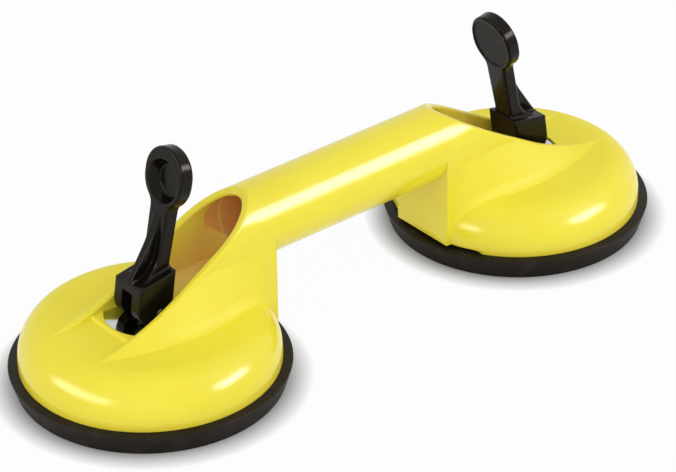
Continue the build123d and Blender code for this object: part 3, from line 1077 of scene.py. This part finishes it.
@dataclass(frozen=True)
class Softbox:
    """A rectangular lamp that faces the object, for its light, its reflection or both."""

    name: str
    azimuth: float
    elevation: float
    distance: float
    width: float
    height: float
    radiance: float
    lights: bool = True
    mirrored: bool = True

    def place(self, aim: Vector) -> None:
        """Puts the lamp into the scene.

        Args:
            aim: The point that it faces.
        """
        light = bpy.data.lights.new(self.name, "AREA")
        light.shape = "RECTANGLE"
        light.size = self.width
        light.size_y = self.height
        light.energy = self.radiance * pi * self.width * self.height
        lamp = bpy.data.objects.new(self.name, light)
        back = towards(self.azimuth, self.elevation)
        turn = back.to_track_quat("Z", "Y").to_matrix().to_4x4()
        lamp.matrix_world = Matrix.Translation(aim + back * self.distance) @ turn
        lamp.visible_camera = False
        lamp.visible_diffuse = self.lights
        lamp.visible_glossy = self.mirrored
        bpy.context.scene.collection.objects.link(lamp)


@dataclass(frozen=True)
class PhotoCamera:
    """Camera at the photograph's view, fitted to the two pads' rims."""

    azimuth: float = radians(-39.43)
    elevation: float = radians(31.42)
    roll: float = radians(-0.69)
    distance: float = 1450 * MM
    aim: Triple = (9.1 * MM, 12.0 * MM, 18.4 * MM)
    focal_pixels: float = 3313.6
    image_width: int = 676
    sensor_width: float = 36
    clip_near: float = 0.1
    clip_far: float = 100

    def place(self) -> None:
        """Puts the camera into the scene."""
        data = bpy.data.cameras.new("photo_camera")
        data.sensor_fit = "HORIZONTAL"
        data.sensor_width = self.sensor_width
        data.lens = self.focal_pixels / self.image_width * self.sensor_width
        data.clip_start = self.clip_near
        data.clip_end = self.clip_far
        camera = bpy.data.objects.new("photo_camera", data)
        back = towards(self.azimuth, self.elevation)
        level = Vector((cos(self.azimuth), sin(self.azimuth), 0))
        right = level * cos(self.roll) + back.cross(level) * sin(self.roll)
        turn = Matrix((right, back.cross(right), back)).transposed().to_4x4()
        camera.matrix_world = Matrix.Translation(Vector(self.aim) + back * self.distance) @ turn
        bpy.context.scene.collection.objects.link(camera)
        bpy.context.scene.camera = camera


SOFTBOXES = (
    Softbox(
        name="strip",
        azimuth=radians(36),
        elevation=radians(28),
        distance=1.3,
        width=0.70,
        height=0.33,
        radiance=14.0,
        lights=False,
    ),
    Softbox(
        name="key",
        azimuth=radians(36),
        elevation=radians(30),
        distance=1.5,
        width=1.0,
        height=1.0,
        radiance=2.0,
        mirrored=False,
    ),
    Softbox(
        name="left_strip",
        azimuth=radians(-100),
        elevation=radians(21),
        distance=1.4,
        width=1.3,
        height=0.4,
        radiance=5.5,
        lights=False,
    ),
    Softbox(
        name="left_fill",
        azimuth=radians(-96),
        elevation=radians(19),
        distance=1.4,
        width=1.1,
        height=0.4,
        radiance=2.4,
        mirrored=False,
    ),
    Softbox(
        name="front_fill",
        azimuth=radians(-50),
        elevation=radians(30),
        distance=1.6,
        width=1.2,
        height=1.2,
        radiance=0.9,
        mirrored=False,
    ),
    Softbox(
        name="top_fill",
        azimuth=radians(30),
        elevation=radians(70),
        distance=1.5,
        width=1.0,
        height=1.0,
        radiance=0.9,
        mirrored=False,
    ),
)


@dataclass(frozen=True)
class Studio:
    """White floor, white surround and soft lamps."""

    ambient: float = 0.56
    floor_size: float = 8.0
    floor_drop: float = 0.1 * MM
    floor_colour: Colour = (0.90, 0.90, 0.90)
    # Painted shadow: camera rays see this darker paper where the glow fades.
    painted_shadow_colour: Colour = (0.42, 0.42, 0.42)
    floor_glow: float = 0.97
    shadow_reach: float = 11 * MM
    shadow_depth: float = 2.2
    shadow_samples: int = 16
    aim: Triple = (0, 0, 40 * MM)
    lamps: tuple[Softbox, ...] = SOFTBOXES

    @staticmethod
    def seen(tree: Tree) -> Field:
        """Finds the rays that show a surface as it is.

        Args:
            tree: The tree that the nodes go into.

        Returns:
            One for rays from the camera and for those that mirror or pass through something.
        """
        path = tree.add("ShaderNodeLightPath")
        mirrored = path.out("Is Glossy Ray").most(path.out("Is Transmission Ray"))
        return path.out("Is Camera Ray").most(mirrored)

    def light_world(self) -> None:
        """Gives the world an even light, white where it is seen."""
        world = bpy.data.worlds.new("studio")
        world.use_nodes = True
        bpy.context.scene.world = world
        tree = Tree(world.node_tree)
        strength = self.ambient + self.seen(tree) * (1 - self.ambient)
        sky = tree.add("ShaderNodeBackground", sockets={"Color": WHITE, "Strength": strength}).out()
        tree.add("ShaderNodeOutputWorld", sockets={"Surface": sky})

    def floor_finish(self) -> bpy.types.Material:
        """Makes the floor white where it is open, with the lamps' shadow and a painted contact shadow:
        the glow fades with ambient occlusion, and camera rays see a darker paper.

        Returns:
            The floor's material.
        """
        finish = Finish("studio_floor")
        seen = self.seen(finish)
        colour = finish.mix(seen, self.floor_colour, self.painted_shadow_colour)
        paper = finish.add("ShaderNodeBsdfDiffuse", sockets={"Color": colour}).out()
        glow = finish.add("ShaderNodeEmission", sockets={"Color": WHITE, "Strength": 1.0}).out()
        settings = {"samples": self.shadow_samples}
        sockets = {"Distance": self.shadow_reach}
        # Painted contact shadow: the floor's glow fades with ambient occlusion near the object.
        contact_shadow_ao = finish.add("ShaderNodeAmbientOcclusion", settings, sockets).out("AO")
        share = seen * self.floor_glow * contact_shadow_ao ** self.shadow_depth
        mixed = finish.add("ShaderNodeMixShader", sockets={0: share, 1: paper, 2: glow}).out()
        finish.add("ShaderNodeOutputMaterial", sockets={"Surface": mixed})
        return finish.material

    def lay_floor(self) -> None:
        """Lays the floor just under the pads."""
        half = self.floor_size / 2
        around = ((-half, -half), (half, -half), (half, half), (-half, half))
        corners = [(x, y, -self.floor_drop) for x, y in around]
        mesh = bpy.data.meshes.new("studio_floor")
        mesh.from_pydata(corners, [], [(0, 1, 2, 3)])
        mesh.materials.append(self.floor_finish())
        ground = bpy.data.objects.new("studio_floor", mesh)
        bpy.context.scene.collection.objects.link(ground)

    def build(self) -> None:
        """Sets up the floor, the world, the lamps and the colour transform."""
        self.light_world()
        self.lay_floor()
        for lamp in self.lamps:
            lamp.place(Vector(self.aim))
        bpy.context.scene.view_settings.view_transform = "Standard"


def main() -> None:
    """Builds the lifter, the studio and the camera."""
    logging.basicConfig(level=logging.INFO, format="%(name)s %(message)s")
    Lifter().build()
    Studio().build()
    PhotoCamera().place()


if __name__ == "__main__":
    main()
